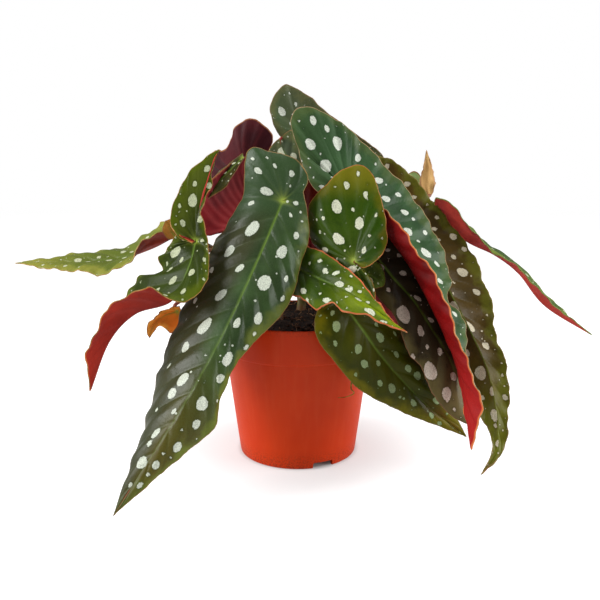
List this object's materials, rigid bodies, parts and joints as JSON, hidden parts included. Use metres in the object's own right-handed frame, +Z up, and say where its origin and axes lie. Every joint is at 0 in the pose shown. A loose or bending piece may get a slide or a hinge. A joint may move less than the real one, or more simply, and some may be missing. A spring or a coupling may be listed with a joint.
{
  "type": "potted polka dot begonia",
  "caption": "Polka dot begonia in a tapered plastic nursery pot: drooping angel-wing leaves with pale spots above and red undersides, on stalks and canes rooted in dark peat.",
  "frame": {"origin": "on the ground under the middle of the pot, which is the middle of the bounding box's base to within 3 mm", "axes": "+Z up along the pot's axis; -Y is the front that the largest leaves hang over; +X to the right as seen from the front"},
  "size_m": [0.4522, 0.2567, 0.2822],
  "materials": {
    "pot_plastic": "satin terracotta-red polypropylene",
    "peat": "dark damp peat with brown fibres",
    "stem": "green-brown speckled stems",
    "leaf_dark": "dark green with white spots, dark red underside",
    "leaf_olive": "olive green with pale spots, red underside",
    "leaf_bright": "yellow-green with white spots and an orange rim",
    "leaf_brown": "brown-green with tan spots, red underside",
    "leaf_maroon": "maroon underside with raised veins",
    "leaf_dry": "dry papery orange-brown"
  },
  "bodies": {
    "root": {"bract_left": "leaf_dry", "cane_back": "stem", "cane_front": "stem", "cane_left": "stem", "cane_right": "stem", "dry_sheath": "leaf_dry", "leaf_back_far_right": "leaf_dark", "leaf_back_left": "leaf_maroon", "leaf_back_left_fold": "leaf_olive", "leaf_back_left_lower": "leaf_maroon", "leaf_back_low_left": "leaf_dark", "leaf_back_middle": "leaf_dark", "leaf_back_right": "leaf_dark", "leaf_centre_front": "leaf_bright", "leaf_centre_upright": "leaf_bright", "leaf_far_left": "leaf_bright", "leaf_far_right": "leaf_maroon", "leaf_front_left": "leaf_dark", "leaf_inner_small": "leaf_olive", "leaf_left_upright": "leaf_olive", "leaf_lower_right": "leaf_olive", "leaf_middle_back": "leaf_olive", "leaf_right_folded": "leaf_brown", "leaf_right_large": "leaf_dark", "leaf_right_outer": "leaf_brown", "leaf_tiny_right": "leaf_olive", "leaf_top": "leaf_dark", "leaf_withered": "leaf_dry", "pot": "pot_plastic", "potting_soil": "peat", "stalk_back_far_right": "stem", "stalk_back_left": "stem", "stalk_back_left_lower": "stem", "stalk_back_low_left": "stem", "stalk_back_middle": "stem", "stalk_back_right": "stem", "stalk_bract_left": "stem", "stalk_centre_front": "stem", "stalk_centre_upright": "stem", "stalk_dry_sheath": "stem", "stalk_far_left": "stem", "stalk_far_right": "stem", "stalk_front_left": "stem", "stalk_inner_small": "stem", "stalk_left_upright": "stem", "stalk_lower_right": "stem", "stalk_middle_back": "stem", "stalk_right_folded": "stem", "stalk_right_large": "stem", "stalk_right_outer": "stem", "stalk_top": "stem", "stalk_withered": "stem"}
  },
  "joints": []
}
